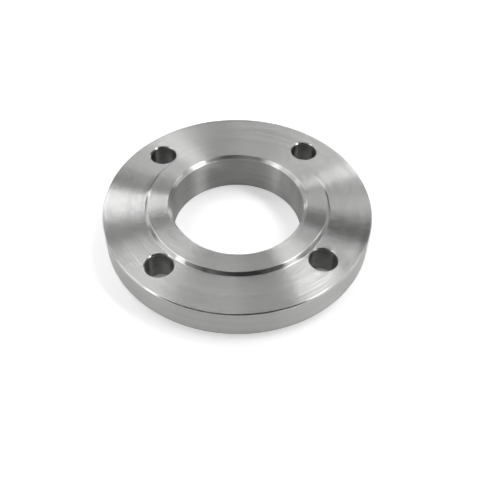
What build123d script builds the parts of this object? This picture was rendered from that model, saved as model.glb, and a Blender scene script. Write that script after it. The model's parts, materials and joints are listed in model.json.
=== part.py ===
"""A raised face pipe flange in stainless steel, turned and drilled from one forging.

The origin is the centre of the hub's end face, which the flange stands on, and +Z is the bore's
axis, towards the gasket face. All sizes are in millimetres.
"""
import os

from build123d import *

# Driving sizes across the flange, from the bore outwards
bore_diameter = 94.0
hub_wall = 7.0
gasket_land = 16.5
hole_margin = 0.175
bolt_hole_diameter = 19.05
rim_land = 9.525
bolt_count = 4

# Driving sizes along the axis
hub_height = 5.9
plate_thickness = 22.2
raised_face_height = 2.3

# Driving sizes of the edges
bore_mouth_chamfer = 2.2
bore_foot_chamfer = 0.8
hub_end_chamfer = 1.0
hub_root_radius = 2.5
rim_chamfer = 0.8
hole_chamfer = 0.7

# The hub is a sleeve round the bore, and the gasket land is the flat ring that the gasket is
# clamped on. Its shoulder falls to the plate at 45 degrees
bore_radius = bore_diameter / 2
hub_radius = bore_radius + hub_wall
raised_face_radius = bore_radius + gasket_land
shoulder_foot_radius = raised_face_radius + raised_face_height

# The bolt holes stand just clear of the shoulder's foot, with the rim's land outside them
bolt_hole_radius = bolt_hole_diameter / 2
bolt_circle_radius = shoulder_foot_radius + hole_margin + hole_chamfer + bolt_hole_radius
outside_radius = bolt_circle_radius + bolt_hole_radius + rim_land

# Levels along the axis
plate_back = hub_height
plate_front = plate_back + plate_thickness
gasket_face = plate_front + raised_face_height

# The bolt holes straddle the flange's centre lines
first_hole_angle = 180 / bolt_count

with BuildPart() as flange:
    # Half of the turned section, from the foot of the bore out to the rim and back to its mouth
    with BuildSketch(Plane.XZ):
        with BuildLine():
            Polyline(
                (bore_radius, 0),
                (hub_radius, 0),
                (hub_radius, plate_back),
                (outside_radius, plate_back),
                (outside_radius, plate_front),
                (shoulder_foot_radius, plate_front),
                (raised_face_radius, gasket_face),
                (bore_radius, gasket_face),
                close=True,
            )
        make_face()
    revolve(axis=Axis.Z)

    # The section's corners are rings, sorted here by level and then from the bore outwards
    foot_rings, back_rings, front_rings, top_rings = [
        level.sort_by(SortBy.RADIUS)
        for level in flange.edges().filter_by(GeomType.CIRCLE).group_by(Axis.Z)
    ]

    # Bolt holes, drilled through the plate and broken at both mouths
    with Locations((0, 0, plate_front)):
        with PolarLocations(bolt_circle_radius, bolt_count, start_angle=first_hole_angle):
            Hole(bolt_hole_radius)
    rings = flange.edges().filter_by(GeomType.CIRCLE).sort_by(SortBy.RADIUS)
    hole_mouths = rings[: 2 * bolt_count]
    chamfer(hole_mouths, length=hole_chamfer)

    # Turned edges: the pipe slips in at the foot, and the weld inside lies in the wide mouth
    chamfer(foot_rings[0], length=bore_foot_chamfer)
    chamfer(foot_rings[-1], length=hub_end_chamfer)
    chamfer(top_rings[0], length=bore_mouth_chamfer)
    chamfer([back_rings[-1], front_rings[-1]], length=rim_chamfer)

    # The hub runs into the plate's back in a fillet, no larger than its height leaves room for
    fillet(back_rings[0], radius=min(hub_root_radius, hub_height / 2))

flange.part.label = "flange"

os.makedirs("parts", exist_ok=True)
export_step(flange.part, "parts/flange.step")
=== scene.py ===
"""The finish of a turned pipe flange, and the light table that it is shown on.

The frame holds the flange at its machined sizes, in metres, with the bore along Z and the hub's
end at Z 0. The flange is laid here as one closed skin over the same sizes, with its corners
rounded as a tool leaves them. The skin carries a map of the way the tools ran over it, which its
finishes follow.
"""
import json
import math
from typing import NamedTuple

import bpy
import numpy as np
from bpy.props import FloatProperty, FloatVectorProperty, IntProperty, PointerProperty
from mathutils import Matrix, Vector


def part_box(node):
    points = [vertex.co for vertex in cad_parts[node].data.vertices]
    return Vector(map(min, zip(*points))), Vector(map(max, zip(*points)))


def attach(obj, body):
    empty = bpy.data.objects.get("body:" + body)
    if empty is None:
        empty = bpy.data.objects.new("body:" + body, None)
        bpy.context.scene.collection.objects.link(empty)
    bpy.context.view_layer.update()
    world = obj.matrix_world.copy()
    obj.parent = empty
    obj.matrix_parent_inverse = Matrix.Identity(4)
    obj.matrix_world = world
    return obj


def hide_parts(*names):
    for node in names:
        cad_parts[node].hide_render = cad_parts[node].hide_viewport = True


bl_info = {
    "name": "Turned pipe flange",
    "version": (1, 0, 0),
    "blender": (4, 5, 0),
    "location": "View3D > Sidebar > Flange",
    "description": "A raised face pipe flange in turned stainless steel on a light table",
    "category": "Object",
}

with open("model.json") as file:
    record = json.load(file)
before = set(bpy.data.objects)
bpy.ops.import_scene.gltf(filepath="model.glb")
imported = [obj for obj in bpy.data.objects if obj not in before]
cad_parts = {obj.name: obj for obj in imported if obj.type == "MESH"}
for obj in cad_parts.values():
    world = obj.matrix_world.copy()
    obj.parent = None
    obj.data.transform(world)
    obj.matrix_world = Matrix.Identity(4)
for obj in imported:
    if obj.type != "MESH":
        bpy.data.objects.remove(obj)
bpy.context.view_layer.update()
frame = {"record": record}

NODE = "flange"
BODY = "root"
PIECE = "turned_flange"
TOOL_MAP = "tool_run"
WHITE = (1.0, 1.0, 1.0, 1.0)
BLACK = (0.0, 0.0, 0.0, 1.0)

# Metres in a millimetre, and radians in a turn
MM = 0.001
TURN = 2 * math.pi

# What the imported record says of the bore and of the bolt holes, and the machined part's far corner
MOUNTS = {mount["name"]: mount for mount in frame["record"]["mounts"]}
BORE = MOUNTS["bore"]["dims"]
BOLTING = MOUNTS["bolt_holes"]["dims"]
_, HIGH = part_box(NODE)

# The finishes, in the order of the skin's material slots
FACED, TURNED, BORED, CHAMFERED, BEVELLED, DRILLED, EDGED = range(7)


def length(name, description, millimetres):
    """A size that is set in Blender's own units of length, given here in millimetres."""
    return FloatProperty(
        name=name,
        description=description,
        default=millimetres * MM,
        min=0.0,
        precision=5,
        unit="LENGTH",
        subtype="DISTANCE",
    )


def share(name, description, default, most=1.0):
    """A plain number from nothing up to a most."""
    return FloatProperty(name=name, description=description, default=default, min=0.0, max=most)


def colour(name, description, default):
    """A colour without alpha."""
    return FloatVectorProperty(
        name=name,
        description=description,
        default=default,
        size=3,
        min=0.0,
        max=1.0,
        subtype="COLOR",
    )


def turn(name, description, degrees):
    """An angle, given here in degrees."""
    return FloatProperty(
        name=name,
        description=description,
        default=math.radians(degrees),
        subtype="ANGLE",
        unit="ROTATION",
    )


class FlangeSizes(bpy.types.PropertyGroup):
    """Sizes of the turned section, measured from the bore's axis and from the hub's end."""

    bore_radius: length("Bore", "Radius of the bore", BORE["r_mm"])
    hub_radius: length("Hub", "Radius of the low hub under the plate", 54.0)
    raised_face_radius: length("Raised face", "Radius of the raised gasket face", 63.5)
    bolt_circle_radius: length(
        "Bolt circle", "Radius of the circle of bolt holes", BOLTING["pcd_mm"] / 2
    )
    bolt_hole_radius: length("Bolt hole", "Radius of each bolt hole", BOLTING["hole_r_mm"])
    outside_radius: length("Outside", "Radius of the rim", HIGH.x / MM)
    plate_back: length("Plate back", "Height of the plate's back over the hub's end", 5.9)
    plate_front: length("Plate front", "Height of the plate's front over the hub's end", 28.1)
    gasket_face: length("Gasket face", "Height of the gasket face over the hub's end", HIGH.z / MM)
    bore_mouth_chamfer: length("Bore mouth", "Chamfer of the bore at the gasket face", 2.2)
    bore_foot_chamfer: length("Bore foot", "Chamfer of the bore at the hub's end", 0.8)
    hub_end_chamfer: length("Hub end", "Chamfer round the hub's end", 1.0)
    hub_root_radius: length("Hub root", "Fillet where the hub meets the plate", 2.5)
    rim_chamfer: length("Rim edges", "Chamfer of both edges of the rim", 0.8)
    hole_chamfer: length("Hole mouths", "Chamfer of both mouths of a bolt hole", 0.7)
    bolt_count: IntProperty(
        name="Bolts", description="Number of bolt holes", default=BOLTING["count"], min=1
    )
    corner_round: length("Corners", "Radius of the corners round the gasket face and the hub", 0.3)
    tool_nose: length(
        "Tool nose", "Radius that the tool leaves at the shoulder's foot and the rim", 0.2
    )
    drill_nose: length("Drill corner", "Radius at the corners of a hole's mouth", 0.1)
    columns: IntProperty(name="Columns", description="Faces round the flange", default=600, min=24)


class SteelLook(bpy.types.PropertyGroup):
    """Colour and gloss of the stainless steel under each tool's marks."""

    steel: colour("Steel", "Colour of the clean metal", (0.61, 0.61, 0.60))
    faced_roughness: share("Faced", "Roughness of the faced rings", 0.235)
    turned_roughness: share("Turned", "Roughness of the hub and rim", 0.28)
    bored_roughness: share("Bored", "Roughness of the bore", 0.42)
    chamfered_roughness: share("Chamfered", "Roughness of the shoulder and the chamfers", 0.175)
    bevelled_roughness: share("Bevelled", "Roughness of the bore's mouth", 0.30)
    drilled_roughness: share("Drilled", "Roughness inside the bolt holes", 0.32)
    edged_roughness: share("Edged", "Roughness of the rounded corners", 0.26)
    grain: share("Grain", "How much the tools' marks stretch a reflection", 1.0)
    banding: share("Banding", "Share of the tone lost in the tools' dark bands", 0.07)
    smudging: share("Smudging", "Share of the tone lost under smudges", 0.05)
    scratch_depth: length("Scratches", "Depth of the scratches of handling", 0.0001)


class LightTable(bpy.types.PropertyGroup):
    """The camera, the floor and the sky of the studio."""

    aim_height: length("Aim height", "Height of the point that the camera looks at", 28.1)
    aim_right: length("Aim right", "Distance of that point to the right of the bore's axis", 2.3)
    aim_near: length("Aim near", "Distance of that point to the near side of the bore's axis", 18.5)
    camera_distance: length("Camera distance", "From the camera to the point it looks at", 443.4)
    camera_azimuth: turn("Azimuth", "Turn of the camera round the bore's axis", -3.70)
    camera_elevation: turn("Elevation", "Height of the camera over the horizon", 47.46)
    camera_roll: turn("Roll", "Turn of the camera about its own line of sight", 0.853)
    focal_length: FloatProperty(
        name="Focal length", description="Lens of the camera in mm", default=48.08
    )
    floor_reach: length("Floor", "Half of the floor's side", 20000.0)
    floor_colour: colour("Floor colour", "Colour of the matt floor", (0.85, 0.85, 0.85))
    floor_lift: share("Floor lift", "White added to the floor where it is seen and open", 0.34)
    open_within: length("Open within", "Reach in which what stands over the floor closes it", 100.0)
    horizon: share("Horizon", "Strength of the pale light at the horizon", 1.0)
    sky: share("Sky", "Strength of the dim light between the soft boxes", 0.007)
    pale_below: turn("Pale below", "Height up to which the horizon keeps its full strength", 4.5)
    dim_above: turn("Dim above", "Height from which the sky is dim", 7.5)
    soft_edge: turn("Soft edge", "Width of the soft edge of a soft box", 2.0)


def unit(rows):
    """Each row of an array over its own length."""
    return rows / np.linalg.norm(rows, axis=-1, keepdims=True)


def rounded_outline(corners, rounds, finishes, steps=3, run_steps=3):
    """Points, outward normals and finishes of an open outline with a round at each corner.

    A corner is cut back on both sides by its radius times the tangent of half its turn. The arc
    that takes its place is the arc's centre plus the radius along the outline's normal, as the
    normal turns from one run to the next. The solid lies on the left of the outline, so a left
    turn is an outside corner. Each run between two arcs is divided evenly.
    """
    corners, rounds = np.array(corners, float), np.array(rounds, float)[:, None]
    ahead = unit(np.diff(corners, axis=0))
    across = np.stack([ahead[:, 1], -ahead[:, 0]], 1)
    turns = np.arctan2(
        ahead[:-1, 0] * ahead[1:, 1] - ahead[:-1, 1] * ahead[1:, 0], (ahead[:-1] * ahead[1:]).sum(1)
    )[:, None]
    side = np.sign(turns)
    begin = corners[1:-1] - ahead[:-1] * rounds * np.tan(abs(turns) / 2)
    centre = begin - side * rounds * across[:-1]
    angles = (turns * np.linspace(0, 1, steps + 1))[:, :, None]
    arc_normals = np.cos(angles) * across[:-1, None] + np.sin(angles) * ahead[:-1, None]
    arcs = centre[:, None] + (side * rounds)[:, None] * arc_normals

    run_begin = np.concatenate([corners[:1], arcs[:, -1]])[:, None]
    run_end = np.concatenate([arcs[:, 0], corners[-1:]])[:, None]
    runs = run_begin + (run_end - run_begin) * np.linspace(0, 1, run_steps + 1)[None, 1:-1, None]
    run_normals = np.repeat(across[:, None], run_steps - 1, axis=1)

    inner_points = np.concatenate([runs[:-1], arcs], 1).reshape(-1, 2)
    inner_normals = np.concatenate([run_normals[:-1], arc_normals], 1).reshape(-1, 2)
    points = [corners[:1], inner_points, runs[-1], corners[-1:]]
    normals = [across[:1], inner_normals, run_normals[-1], across[-1:]]
    of_runs = np.repeat(finishes, run_steps).reshape(-1, run_steps)
    # Every round takes the edged finish, whose high tone is a painted highlight along the corner
    of_arcs = np.full((len(rounds), steps), EDGED)
    strips = [np.concatenate([of_runs[:-1], of_arcs], 1).ravel(), of_runs[-1]]
    return np.concatenate(points), np.concatenate(normals), np.concatenate(strips)


def swept(outline, normals, angles, centre=(0.0, 0.0)):
    """An outline of radius and height carried round an axis parallel to Z.

    A point is the axis plus its radius along the direction of its angle, at its height. The map
    runs across the tool's path with the distance along the outline, in metres, and along the
    path with the angle, in turns.
    """
    directions = np.stack([np.cos(angles), np.sin(angles)], 1)
    flat = outline[:, None, :1] * directions[None] + np.array(centre)
    points = np.concatenate([flat, np.repeat(outline[:, None, 1:], len(angles), 1)], 2)
    leaning = normals[:, None, :1] * directions[None]
    facing = np.concatenate([leaning, np.repeat(normals[:, None, 1:], len(angles), 1)], 2)
    travelled = np.concatenate([[0], np.cumsum(np.linalg.norm(np.diff(outline, axis=0), axis=1))])
    tool = np.stack(np.broadcast_arrays(travelled[:, None], angles[None] / TURN), 2)
    return points, facing, tool


def flat_ring(points, height, upwards):
    """A flat part of a plate face from its points, with the map that facing it leaves.

    The tool's path is a circle round the bore's axis, so the map runs across it with the radius.
    """
    east, north = points[..., 0], points[..., 1]
    radius = np.hypot(east, north)
    angle = np.unwrap(np.unwrap(np.arctan2(north, east), axis=1), axis=0)
    high = np.full(radius.shape, height)
    facing = np.zeros(radius.shape + (3,))
    facing[..., 2] = upwards
    tool = np.stack([radius, angle / TURN], 2)
    return np.concatenate([points, high[..., None]], 2), facing, tool


def polar(radius, angle):
    """Flat points from radii and angles, of any shape that the two share."""
    radius, angle = np.broadcast_arrays(radius, angle)
    return np.stack([radius * np.cos(angle), radius * np.sin(angle)], -1)


# Points closer than this, in metres, are one point of the welded skin
WELD = 1e-7


class Skin:
    """Sheets of a surface that are laid edge to edge and then welded into one mesh."""

    def __init__(self):
        self.points, self.normals, self.faces, self.tool, self.finishes = [], [], [], [], []
        self.count = 0

    def lay(self, sheet, finishes):
        """Adds a grid of points, with the finish of each strip between two of its rows."""
        points, normals, tool = sheet
        rows, columns = points.shape[:2]
        index = np.arange(rows * columns).reshape(rows, columns)
        quads = np.stack([index[:-1, :-1], index[:-1, 1:], index[1:, 1:], index[1:, :-1]], -1)
        quads = quads.reshape(-1, 4)
        self.points.append(points.reshape(-1, 3))
        self.normals.append(normals.reshape(-1, 3))
        self.tool.append(tool.reshape(-1, 2)[quads].reshape(-1, 2))
        self.faces.append(quads + self.count)
        self.finishes.append(np.repeat(np.broadcast_to(finishes, rows - 1), columns - 1))
        self.count += rows * columns

    def mesh(self, name):
        """Welds the sheets where their points meet, and keeps their exact normals."""
        points, normals = np.concatenate(self.points), np.concatenate(self.normals)
        grid = np.round(points / WELD).astype(np.int64)
        _, first, welded = np.unique(grid, axis=0, return_index=True, return_inverse=True)
        mesh = bpy.data.meshes.new(name)
        mesh.from_pydata(points[first], [], welded.ravel()[np.concatenate(self.faces)])
        mesh.polygons.foreach_set("material_index", np.concatenate(self.finishes).astype(np.int32))
        tool_map = mesh.uv_layers.new(name=TOOL_MAP)
        tool_map.uv.foreach_set("vector", np.concatenate(self.tool).ravel())
        mesh.shade_smooth()
        mesh.update()
        mesh.normals_split_custom_set_from_vertices(normals[first])
        return mesh


def bore_outline(sizes, front_foot, back_root):
    """From the shoulder's foot over the gasket face, through the bore and round the hub."""
    mouth = sizes.bore_radius + sizes.bore_mouth_chamfer
    corners = [
        (front_foot, sizes.plate_front),
        (sizes.raised_face_radius + sizes.gasket_face - sizes.plate_front, sizes.plate_front),
        (sizes.raised_face_radius, sizes.gasket_face),
        (mouth, sizes.gasket_face),
        (sizes.bore_radius, sizes.gasket_face - sizes.bore_mouth_chamfer),
        (sizes.bore_radius, sizes.bore_foot_chamfer),
        (sizes.bore_radius + sizes.bore_foot_chamfer, 0),
        (sizes.hub_radius - sizes.hub_end_chamfer, 0),
        (sizes.hub_radius, sizes.hub_end_chamfer),
        (sizes.hub_radius, sizes.plate_back),
        (back_root, sizes.plate_back),
    ]
    rounds = [sizes.tool_nose] + [sizes.corner_round] * (len(corners) - 4) + [sizes.hub_root_radius]
    front = [FACED, CHAMFERED, FACED, BEVELLED, BORED]
    back = [CHAMFERED, FACED, CHAMFERED, TURNED, FACED]
    return rounded_outline(corners, rounds, front + back)


def rim_outline(sizes, face_edge):
    """From the plate's back round the rim to its front."""
    inside = sizes.outside_radius - sizes.rim_chamfer
    corners = [
        (face_edge, sizes.plate_back),
        (inside, sizes.plate_back),
        (sizes.outside_radius, sizes.plate_back + sizes.rim_chamfer),
        (sizes.outside_radius, sizes.plate_front - sizes.rim_chamfer),
        (inside, sizes.plate_front),
        (face_edge, sizes.plate_front),
    ]
    finishes = [FACED, CHAMFERED, TURNED, CHAMFERED, FACED]
    return rounded_outline(corners, [sizes.tool_nose] * 4, finishes)


def hole_outline(sizes, mouth_edge):
    """Down a bolt hole, from the plate's front to its back."""
    mouth = sizes.bolt_hole_radius + sizes.hole_chamfer
    corners = [
        (mouth_edge, sizes.plate_front),
        (mouth, sizes.plate_front),
        (sizes.bolt_hole_radius, sizes.plate_front - sizes.hole_chamfer),
        (sizes.bolt_hole_radius, sizes.plate_back + sizes.hole_chamfer),
        (mouth, sizes.plate_back),
        (mouth_edge, sizes.plate_back),
    ]
    finishes = [FACED, CHAMFERED, DRILLED, CHAMFERED, FACED]
    return rounded_outline(corners, [sizes.drill_nose] * 4, finishes)


# The plate's faces are divided into sectors, and those with a bolt hole reach this far each side
HOLE_SECTOR = math.radians(15)
# Rings of faces from the inside of a plate face to its edge, and from a sector's edge to its hole
FACE_RINGS = 24
HOLE_RINGS = 6
# Flats that are kept beside a rounded corner, in metres
LEDGE = 0.00001
# How far a round reaches along both sides of a 45 degree corner, as a share of its radius
ROUND_REACH = math.tan(math.pi / 8)


def flange_skin(sizes):
    """The whole flange: two outlines carried round it, and the plate's faces between them."""
    nose_reach = sizes.tool_nose * ROUND_REACH
    rim_edge = sizes.outside_radius - sizes.rim_chamfer - nose_reach - LEDGE
    shoulder_foot = sizes.raised_face_radius + sizes.gasket_face - sizes.plate_front
    front = (rim_edge, shoulder_foot + nose_reach + LEDGE)
    back = (rim_edge, sizes.hub_radius + sizes.hub_root_radius + LEDGE)
    skin = Skin()

    round_angles = np.linspace(0, TURN, sizes.columns + 1)
    for turned in (bore_outline(sizes, front[1], back[1]), rim_outline(sizes, rim_edge)):
        outline, normals, finishes = turned
        skin.lay(swept(outline, normals, round_angles), finishes)

    levels = ((sizes.plate_front, 1, front), (sizes.plate_back, -1, back[::-1]))
    pitch = TURN / sizes.bolt_count
    plain = pitch - 2 * HOLE_SECTOR
    for hole in range(sizes.bolt_count):
        middle = pitch * (hole + 0.5)
        columns = round(sizes.columns * plain / TURN) + 1
        between = np.linspace(middle + HOLE_SECTOR, middle + HOLE_SECTOR + plain, columns)
        for height, upwards, (begin, end) in levels:
            rings = np.linspace(begin, end, FACE_RINGS + 1)
            points = polar(rings[:, None], between[None])
            skin.lay(flat_ring(points, height, upwards), FACED)
        lay_hole(skin, sizes, middle, front, back)
    return skin


def sector_edge(sizes, middle, reach):
    """The edge of a hole's sector, from its outer right corner anticlockwise and closed."""
    columns = round(sizes.columns * 2 * HOLE_SECTOR / TURN)
    outer, inner = reach
    arc = np.linspace(-HOLE_SECTOR, HOLE_SECTOR, columns + 1)
    rings = np.linspace(outer, inner, FACE_RINGS + 1)
    radius = [np.full(columns, outer), rings[:-1], np.full(columns, inner), rings[::-1]]
    angle = [arc[:-1], np.full(FACE_RINGS, arc[-1]), arc[:0:-1], np.full(FACE_RINGS + 1, arc[0])]
    return polar(np.concatenate(radius), np.concatenate(angle) + middle)


def lay_hole(skin, sizes, middle, front, back):
    """A bolt hole with the sector of the plate's front and back that it pierces.

    Seen from the hole's own axis, each point of the sector's edge at the front gives a column:
    the rings between the edge and the mouth divide the straight line from one to the other, and
    the wall runs down from there to the back, where the rings widen again.
    """
    axis = polar(sizes.bolt_circle_radius, middle)
    mouth_edge = sizes.bolt_hole_radius + sizes.hole_chamfer + LEDGE
    mouth_edge += sizes.drill_nose * ROUND_REACH
    front_edge, back_edge = sector_edge(sizes, middle, front), sector_edge(sizes, middle, back)
    seen = front_edge - axis
    angles = np.unwrap(np.arctan2(seen[:, 1], seen[:, 0]))
    angles[-1] = angles[0] + TURN
    mouth = axis + polar(mouth_edge, angles)
    nearing = np.sin(np.linspace(0, math.pi / 2, HOLE_RINGS + 1))[:, None, None]
    skin.lay(flat_ring(front_edge + (mouth - front_edge) * nearing, sizes.plate_front, 1), FACED)
    outline, normals, finishes = hole_outline(sizes, mouth_edge)
    skin.lay(swept(outline, normals, angles, axis), finishes)
    widening = nearing[::-1]
    skin.lay(flat_ring(back_edge + (mouth - back_edge) * widening, sizes.plate_back, -1), FACED)


# The colour sockets of a Mix node: its two inputs and its output
FIRST_COLOUR, SECOND_COLOUR = 6, 7
MIXED_COLOUR = 2


class Nodes:
    """Short calls to place and link the nodes of a material, world or node group."""

    def __init__(self, tree):
        self.tree = tree
        tree.nodes.clear()

    def add(self, kind, inputs=None, **settings):
        """A node with its settings, its inputs set to values or linked from other sockets."""
        node = self.tree.nodes.new(kind)
        for name, value in settings.items():
            setattr(node, name, value)
        for name, value in (inputs or {}).items():
            if isinstance(value, bpy.types.NodeSocket):
                self.tree.links.new(value, node.inputs[name])
            else:
                node.inputs[name].default_value = value
        return node

    def math(self, operation, *values):
        """The result of a Math node on up to three values or sockets."""
        return self.add("ShaderNodeMath", dict(enumerate(values)), operation=operation).outputs[0]

    def ramp(self, value, begin_end, low_high, interpolation="LINEAR"):
        """A value carried from one range to another, and held at its ends."""
        ends = dict(zip(("From Min", "From Max", "To Min", "To Max"), (*begin_end, *low_high)))
        inputs = {"Value": value, **ends}
        ramp = self.add("ShaderNodeMapRange", inputs, interpolation_type=interpolation)
        return ramp.outputs["Result"]

    def vector(self, operation, *values, **named):
        """The result of a Vector Math node on up to two vectors, and on inputs by their names."""
        inputs = {**dict(enumerate(values)), **named}
        return self.add("ShaderNodeVectorMath", inputs, operation=operation).outputs[0]

    def blend(self, amount, first, second):
        """The first colour, carried to the second by an amount from 0 to 1."""
        inputs = {"Factor": amount, FIRST_COLOUR: first, SECOND_COLOUR: second}
        return self.add("ShaderNodeMix", inputs, data_type="RGBA").outputs[MIXED_COLOUR]

    def noise(self, place, scale, detail, roughness=0.5):
        """Noise between 0 and 1 at a place, with so many blobs a metre at its coarsest."""
        settings = {"Vector": place, "Scale": scale, "Detail": detail, "Roughness": roughness}
        return self.add("ShaderNodeTexNoise", settings).outputs["Fac"]


def node_group(name, inputs, outputs):
    """The nodes of a new group with number sockets of these names, and the sockets at its ends."""
    tree = bpy.data.node_groups.new(name, "ShaderNodeTree")
    nodes = Nodes(tree)
    for label, default in inputs.items():
        socket = tree.interface.new_socket(label, in_out="INPUT", socket_type="NodeSocketFloat")
        socket.default_value = default
    for label in outputs:
        tree.interface.new_socket(label, in_out="OUTPUT", socket_type="NodeSocketFloat")
    return nodes, nodes.add("NodeGroupInput").outputs, nodes.add("NodeGroupOutput").inputs


# Of a tool's fine lines and broad bands: the input that spaces them, the radius of the circle in
# the noise that goes round with the tool, and the noise's detail
TOOL_NOISE = {"Lines": ("Score", 1.2, 3.0), "Bands": ("Band", 0.6, 2.0)}


def tool_marks_group():
    """Marks of a tool that cuts round an axis, from the map of its path.

    Slope is how steep the scallop stands that the tool's nose leaves at each feed: from -1 to 1
    across a spiral groove. Lines are fine scores that follow the path, and Bands are broad rings
    where the cut ran coarser or finer. Both are noise on a point that goes round a small circle
    once a turn, so they meet themselves without a seam.
    """
    spacing = {"Feed": 0.25 * MM, "Score": 0.5 * MM, "Band": 6 * MM}
    nodes, given, out = node_group("tool_marks", spacing, ("Slope", "Lines", "Bands"))
    place = nodes.add("ShaderNodeUVMap", uv_map=TOOL_MAP).outputs["UV"]
    across, turns, _ = nodes.add("ShaderNodeSeparateXYZ", {0: place}).outputs
    angle = nodes.math("MULTIPLY", turns, TURN)
    east, north = nodes.math("COSINE", angle), nodes.math("SINE", angle)

    spiral = nodes.math("ADD", nodes.math("DIVIDE", across, given["Feed"]), turns)
    slope = nodes.math("MULTIPLY_ADD", nodes.math("FRACT", spiral), 2.0, -1.0)
    nodes.tree.links.new(slope, out["Slope"])

    for label, (pitch, circle, detail) in TOOL_NOISE.items():
        sides = {
            "X": nodes.math("MULTIPLY", east, circle),
            "Y": nodes.math("MULTIPLY", north, circle),
            "Z": nodes.math("DIVIDE", across, given[pitch]),
        }
        point = nodes.add("ShaderNodeCombineXYZ", sides).outputs[0]
        nodes.tree.links.new(nodes.noise(point, 1.0, detail), out[label])
    return nodes.tree


# Each set of hairs: the angle that turns it, in radians, and its noise's blobs a metre lengthwise
HAIR_SETS = ((0.5, 14.0), (1.9, 18.0), (2.7, 12.0))
# The blobs a metre across the hairs, and how far from its middle value the noise still is a hair
HAIR_CLOSENESS = 240.0
HAIR_REACH = 0.006
# The patches that hold hairs, in blobs a metre, with the noise at which they begin and are whole
HAIR_PATCHES = 55.0
PATCH_RANGE = (0.55, 0.72)
# The smudges: blobs a metre, detail and roughness of their noise
SMUDGES = (28.0, 4.0, 0.6)


def handling_group():
    """Marks of handling: Scratches are thin hairs that run any way, and Smudges soft clouds.

    A hair is where a stretched and turned noise passes its middle value, kept only inside
    patches of a larger noise. Spread is the share of the hairs that is kept.
    """
    nodes, given, out = node_group("handling", {"Spread": 1.0}, ("Scratches", "Smudges"))
    place = nodes.add("ShaderNodeTexCoord").outputs["Object"]
    hairs = 0.0
    for angle, stretch in HAIR_SETS:
        stretched = {
            "Vector": place,
            "Rotation": (0.0, 0.0, angle),
            "Scale": (stretch, HAIR_CLOSENESS, HAIR_CLOSENESS),
        }
        turned = nodes.add("ShaderNodeMapping", stretched).outputs[0]
        from_middle = nodes.math("SUBTRACT", nodes.noise(turned, 1.0, 1.0), 0.5)
        hair = nodes.ramp(nodes.math("ABSOLUTE", from_middle), (0.0, HAIR_REACH), (1.0, 0.0))
        hairs = nodes.math("MAXIMUM", hair, hairs)
    patches = nodes.ramp(nodes.noise(place, HAIR_PATCHES, 2.0), PATCH_RANGE, (0.0, 1.0))
    kept = nodes.math("MULTIPLY", nodes.math("MULTIPLY", hairs, patches), given["Spread"])
    nodes.tree.links.new(kept, out["Scratches"])
    nodes.tree.links.new(nodes.noise(place, *SMUDGES), out["Smudges"])
    return nodes.tree


class Finish(NamedTuple):
    """How one tool leaves the steel.

    Tone scales the clean metal's colour for each finish, and fade is the share of it that is lost
    in the dark lines. The tones are painted light: the low tones of the turned hub and rim, the
    bore and the bolt holes are painted shade, the high tone of the rounded corners is a painted
    highlight, and the faces, chamfers and bore's mouth have tones set to how bright they look under
    this light. Feed is the tool's travel in each turn, ridge the height that it leaves between two
    turns and score the spacing of the finer lines, all in millimetres. Lean is the slope of those
    lines, and swing their roughness as a share of the whole.
    """

    name: str
    tone: float
    fade: float
    feed: float
    ridge: float
    score: float
    lean: float
    swing: float


# In the order of the finishes' numbers. The tones are painted light: painted shade on the turned hub
# and rim, the bore and the bolt holes, a painted highlight on the rounded corners, and a painted
# brightness on the faces, chamfers and bore's mouth.
FINISHES = (
    Finish(
        "faced_steel",
        tone=1.06, fade=0.12, feed=0.22, ridge=0.004, score=0.70, lean=0.015, swing=0.004,
    ),
    Finish(
        "turned_steel",
        tone=0.57, fade=0.10, feed=0.30, ridge=0.006, score=0.70, lean=0.020, swing=0.010,
    ),
    Finish(
        "bored_steel",
        tone=0.62, fade=0.16, feed=0.30, ridge=0.030, score=0.70, lean=0.060, swing=0.030,
    ),
    Finish(
        "chamfered_steel",
        tone=0.93, fade=0.07, feed=0.10, ridge=0.000, score=0.30, lean=0.020, swing=0.010,
    ),
    Finish(
        "bevelled_steel",
        tone=1.05, fade=0.07, feed=0.10, ridge=0.000, score=0.30, lean=0.020, swing=0.010,
    ),
    Finish(
        "drilled_steel",
        tone=0.50, fade=0.40, feed=0.40, ridge=0.040, score=0.35, lean=0.100, swing=0.100,
    ),
    Finish(
        "edged_steel",
        tone=1.25, fade=0.00, feed=0.10, ridge=0.000, score=0.30, lean=0.000, swing=0.010,
    ),
)

# Where the noise of the marks mostly lies
NOISE_RANGE = (0.3, 0.7)


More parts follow.
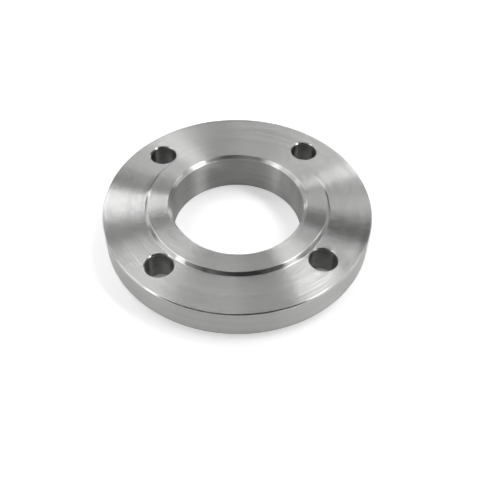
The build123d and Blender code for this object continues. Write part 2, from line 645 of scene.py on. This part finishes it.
def steel_material(finish, roughness, look, marks_tree, handling_tree):
    """Stainless steel whose reflections stretch across the tool's path.

    The tone falls in the tool's lines and bands and under smudges. The scratches of handling are
    bump. The tool's own marks only tilt the surface across its path: a scallop of height h at a
    feed f, h * (2x / f - 1) ** 2, has the slope 4h / f at its ends.
    """
    material = bpy.data.materials.new(finish.name)
    material.use_nodes = True
    nodes = Nodes(material.node_tree)
    spacing = {"Feed": finish.feed * MM, "Score": finish.score * MM}
    marks = nodes.add("ShaderNodeGroup", spacing, node_tree=marks_tree).outputs
    handling = nodes.add("ShaderNodeGroup", node_tree=handling_tree).outputs

    worn = roughness * (1 - finish.swing), roughness * (1 + finish.swing)
    rough = nodes.ramp(marks["Lines"], NOISE_RANGE, worn)

    lined = nodes.ramp(marks["Lines"], NOISE_RANGE, (0.0, finish.fade))
    banded = nodes.ramp(marks["Bands"], NOISE_RANGE, (0.0, look.banding))
    smudged = nodes.ramp(handling["Smudges"], NOISE_RANGE, (0.0, look.smudging))
    lost = nodes.math("ADD", nodes.math("ADD", lined, banded), smudged)
    # The finish's tone scales the steel: painted shade on the hub, rim, bore and bolt holes, a
    # painted highlight on the rounded corners
    bright = (*(finish.tone * part for part in look.steel), 1.0)

    depth = nodes.math("MULTIPLY", handling["Scratches"], -look.scratch_depth)
    bump = nodes.add("ShaderNodeBump", {"Strength": 1.0, "Distance": 1.0, "Height": depth})
    across = nodes.add("ShaderNodeTangent", direction_type="UV_MAP", uv_map=TOOL_MAP).outputs[0]
    scored = nodes.ramp(marks["Lines"], NOISE_RANGE, (-finish.lean, finish.lean))
    slope = nodes.math("MULTIPLY_ADD", marks["Slope"], 4 * finish.ridge / finish.feed, scored)
    tilt = nodes.vector("SCALE", across, Scale=slope)
    tilted = nodes.vector("SUBTRACT", bump.outputs[0], tilt)
    steel = nodes.add(
        "ShaderNodeBsdfPrincipled",
        {
            "Base Color": nodes.blend(lost, bright, BLACK),
            "Metallic": 1.0,
            "Roughness": rough,
            "Anisotropic": look.grain,
            "Normal": nodes.vector("NORMALIZE", tilted),
            "Tangent": across,
        },
    )
    nodes.add("ShaderNodeOutputMaterial", {"Surface": steel.outputs["BSDF"]})
    return material


class FLANGE_OT_turn_flange(bpy.types.Operator):
    """Lays the flange's skin over the machined part and gives it its finishes"""

    bl_idname = "flange.turn_flange"
    bl_label = "Turn the flange"

    def execute(self, context):
        sizes, look = context.scene.flange_sizes, context.scene.steel_look
        mesh = flange_skin(sizes).mesh(PIECE)
        marks_tree, handling_tree = tool_marks_group(), handling_group()
        for finish in FINISHES:
            roughness = getattr(look, finish.name.replace("steel", "roughness"))
            material = steel_material(finish, roughness, look, marks_tree, handling_tree)
            mesh.materials.append(material)
        flange = bpy.data.objects.new(PIECE, mesh)
        context.scene.collection.objects.link(flange)
        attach(flange, BODY)
        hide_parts(NODE)
        return {"FINISHED"}


# The photograph's frame in pixels, and the point in it that the lens looks at
FRAME_WIDTH = 480
LENS_POINT = (240.5, 222.5)
CENTRE_SHIFT = (
    (FRAME_WIDTH / 2 - LENS_POINT[0]) / FRAME_WIDTH,
    (LENS_POINT[1] - FRAME_WIDTH / 2) / FRAME_WIDTH,
)


def set_camera(scene, table):
    """Stands the camera off from the point that it looks at, by its azimuth and elevation."""
    data = bpy.data.cameras.new("camera")
    data.lens = table.focal_length
    data.shift_x, data.shift_y = CENTRE_SHIFT
    camera = bpy.data.objects.new("camera", data)
    scene.collection.objects.link(camera)
    round_axis = Matrix.Rotation(table.camera_azimuth, 4, "Z")
    aim = round_axis @ Vector((table.aim_right, -table.aim_near, table.aim_height))
    tilt = Matrix.Rotation(math.pi / 2 - table.camera_elevation, 4, "X")
    rolled = Matrix.Rotation(table.camera_roll, 4, "Z")
    stand = Matrix.Translation((0, 0, table.camera_distance))
    camera.matrix_world = Matrix.Translation(aim) @ round_axis @ tilt @ rolled @ stand
    scene.camera = camera


# Openness of the floor at which its lift begins and is whole
OPENNESS = (0.0, 0.2)


def floor_material(table):
    """Matt white, lifted to the white of the paper where a camera or a reflection sees it.

    The lift fades where little of the sky is open over the floor, as under a bolt hole or the plate,
    which paints shade there on top of the floor's own shadow.
    """
    material = bpy.data.materials.new("pale_floor")
    material.use_nodes = True
    nodes = Nodes(material.node_tree)
    rays = nodes.add("ShaderNodeLightPath").outputs
    seen = nodes.math("MAXIMUM", rays["Is Camera Ray"], rays["Is Glossy Ray"])
    seen = nodes.math("MAXIMUM", seen, rays["Is Transmission Ray"])
    paper = nodes.blend(seen, (*table.floor_colour, 1.0), WHITE)
    matt = nodes.add("ShaderNodeBsdfDiffuse", {"Color": paper})
    # Painted shade: the white lift fades with the floor's ambient occlusion, under the plate and the
    # bolt holes
    opening = nodes.add("ShaderNodeAmbientOcclusion", {"Distance": table.open_within}).outputs["AO"]
    lifted = nodes.ramp(opening, OPENNESS, (0.0, table.floor_lift))
    lift = nodes.add("ShaderNodeEmission", {"Strength": nodes.math("MULTIPLY", seen, lifted)})
    both = nodes.add("ShaderNodeAddShader", {0: matt.outputs[0], 1: lift.outputs[0]})
    nodes.add("ShaderNodeOutputMaterial", {"Surface": both.outputs[0]})
    return material


def pale_floor(scene, table):
    """A floor at the hub's end that runs to the horizon."""
    mesh = bpy.data.meshes.new("floor")
    corners = [(-1, -1), (1, -1), (1, 1), (-1, 1)]
    reach = table.floor_reach
    mesh.from_pydata([(reach * x, reach * y, 0) for x, y in corners], [], [(0, 1, 2, 3)])
    mesh.materials.append(floor_material(table))
    floor = bpy.data.objects.new("floor", mesh)
    scene.collection.objects.link(floor)


class SoftBox(NamedTuple):
    """A soft box far off, in degrees: where it stands, how it leans and its half sizes."""

    azimuth: float
    elevation: float
    lean: float
    half_width: float
    half_height: float
    strength: float


# The studio's soft boxes as the flange sees them, with azimuth 0 at its right and 90 behind it
SOFT_BOXES = {
    "back_strip": SoftBox(83, 25, -40, 29, 6, 2.3),
    "back_middle": SoftBox(101, 28, 10, 6, 18, 0.85),
    "back_left_narrow": SoftBox(119, 32, 24, 1.3, 14, 11.3),
    "back_left_high": SoftBox(116, 52, -56, 1.3, 26, 0.8),
    "overhead": SoftBox(129, 54, 50, 4.8, 39, 2.1),
    "right_high": SoftBox(352, 56, -47, 6, 24, 7.35),
    "back_right_high": SoftBox(58, 56, 34, 2.8, 1.6, 12.0),
    "back_right_narrow": SoftBox(58, 20, -28, 1.3, 16, 5.1),
    "right_strip": SoftBox(33, 47, -3, 4.7, 4.6, 11.5),
    "right_low": SoftBox(328, 3, -5, 34, 2.2, 16.0),
    "left_low": SoftBox(196, 12, -37, 27, 14, 1.25),
    "left_high": SoftBox(176, 58, -12, 29, 10.5, 1.9),
    "front_left": SoftBox(204, 21, 12, 5, 22, 1.6),
    "front_low": SoftBox(266, 14, 0, 50, 10, 0.4),
    "right_fill": SoftBox(0, 22, 0, 25, 10, 0.3),
    "front_high": SoftBox(243, 51, -36, 2.1, 13.5, 1.2),
    "zenith": SoftBox(180, 88.5, 0, 2.5, 2.5, 6.0),
    "left_zenith": SoftBox(176, 82, 0, 2.5, 2.5, 4.5),
    "left_strip": SoftBox(143, 21, 56, 12, 1.8, 2.5),
    "left_horizon": SoftBox(146, 6, 0, 10, 3.5, 1.0),
}


# How a soft box stands in the group that draws it, in the order of its first fields
BOX_INPUTS = ("Azimuth", "Elevation", "Lean", "Half Width", "Half Height")


def soft_box_group():
    """How much of a soft box is seen in a direction of the sky.

    The direction is turned until the box lies ahead along X. Then the angle to its left and the
    angle above it are each held against the box's half size, across a soft edge.
    """
    inputs = dict.fromkeys((*BOX_INPUTS, "Edge"), 0.0)
    nodes, given, out = node_group("soft_box", inputs, ("Share",))
    sight = nodes.add("ShaderNodeTexCoord").outputs["Generated"]
    turns = (("Z", "Azimuth", True), ("Y", "Elevation", False), ("X", "Lean", True))
    for axis, place, invert in turns:
        turned = nodes.add(
            "ShaderNodeVectorRotate",
            {"Vector": sight, "Angle": given[place]},
            rotation_type=f"{axis}_AXIS",
            invert=invert,
        )
        sight = turned.outputs[0]
    ahead, left, above = nodes.add("ShaderNodeSeparateXYZ", {0: sight}).outputs
    half_edge = nodes.math("MULTIPLY", given["Edge"], 0.5)
    shares = []
    for way, reach in ((left, "Half Width"), (above, "Half Height")):
        angle = nodes.math("ABSOLUTE", nodes.math("ARCTAN2", way, ahead))
        begin = nodes.math("SUBTRACT", given[reach], half_edge)
        end = nodes.math("ADD", given[reach], half_edge)
        shares.append(nodes.ramp(angle, (begin, end), (1.0, 0.0), "SMOOTHSTEP"))
    nodes.tree.links.new(nodes.math("MULTIPLY", *shares), out["Share"])
    return nodes.tree


# Width in pixels of the map by which the renderer finds the bright parts of the sky
SKY_MAP = 1024


def studio(scene, table):
    """A dim sky over a white horizon, with the soft boxes in it."""
    world = bpy.data.worlds.new("studio")
    world.use_nodes = True
    world.cycles.sampling_method = "MANUAL"
    world.cycles.sample_map_resolution = SKY_MAP
    scene.world = world
    nodes = Nodes(world.node_tree)
    sight = nodes.add("ShaderNodeTexCoord").outputs["Generated"]
    height = nodes.add("ShaderNodeSeparateXYZ", {0: sight}).outputs["Z"]
    fade = (math.sin(table.pale_below), math.sin(table.dim_above))
    light = nodes.ramp(height, fade, (table.horizon, table.sky), "SMOOTHSTEP")
    tree = soft_box_group()
    for box in SOFT_BOXES.values():
        inputs = {name: math.radians(degrees) for name, degrees in zip(BOX_INPUTS, box)}
        inputs["Edge"] = table.soft_edge
        seen = nodes.add("ShaderNodeGroup", inputs, node_tree=tree).outputs["Share"]
        light = nodes.math("MULTIPLY_ADD", seen, box.strength, light)
    sky = nodes.add("ShaderNodeBackground", {"Color": WHITE, "Strength": light})
    nodes.add("ShaderNodeOutputWorld", {"Surface": sky.outputs[0]})


class FLANGE_OT_set_stage(bpy.types.Operator):
    """Sets the floor, the studio's sky and the camera"""

    bl_idname = "flange.set_stage"
    bl_label = "Set the light table"

    def execute(self, context):
        scene, table = context.scene, context.scene.light_table
        scene.view_settings.view_transform = "Standard"
        pale_floor(scene, table)
        studio(scene, table)
        set_camera(scene, table)
        return {"FINISHED"}


class FLANGE_PT_sidebar(bpy.types.Panel):
    """The flange's sizes and finishes, and the buttons that make it"""

    bl_label = "Turned pipe flange"
    bl_category = "Flange"
    bl_space_type = "VIEW_3D"
    bl_region_type = "UI"

    def draw(self, context):
        layout = self.layout
        for place in SETTINGS:
            settings = getattr(context.scene, place)
            box = layout.box()
            for name in settings.bl_rna.properties.keys():
                if name not in ("rna_type", "name"):
                    box.prop(settings, name)
        layout.operator(FLANGE_OT_turn_flange.bl_idname)
        layout.operator(FLANGE_OT_set_stage.bl_idname)


CLASSES = (
    FlangeSizes,
    SteelLook,
    LightTable,
    FLANGE_OT_turn_flange,
    FLANGE_OT_set_stage,
    FLANGE_PT_sidebar,
)
SETTINGS = {"flange_sizes": FlangeSizes, "steel_look": SteelLook, "light_table": LightTable}


def register():
    """Registers the classes and hangs the settings on the scene."""
    for item in CLASSES:
        bpy.utils.register_class(item)
    for place, settings in SETTINGS.items():
        setattr(bpy.types.Scene, place, PointerProperty(type=settings))


def unregister():
    """Takes the settings off the scene and unregisters the classes."""
    for place in SETTINGS:
        delattr(bpy.types.Scene, place)
    for item in reversed(CLASSES):
        bpy.utils.unregister_class(item)


def main():
    """Makes the flange and its stage."""
    register()
    bpy.ops.flange.turn_flange()
    bpy.ops.flange.set_stage()


if __name__ == "__main__":
    main()
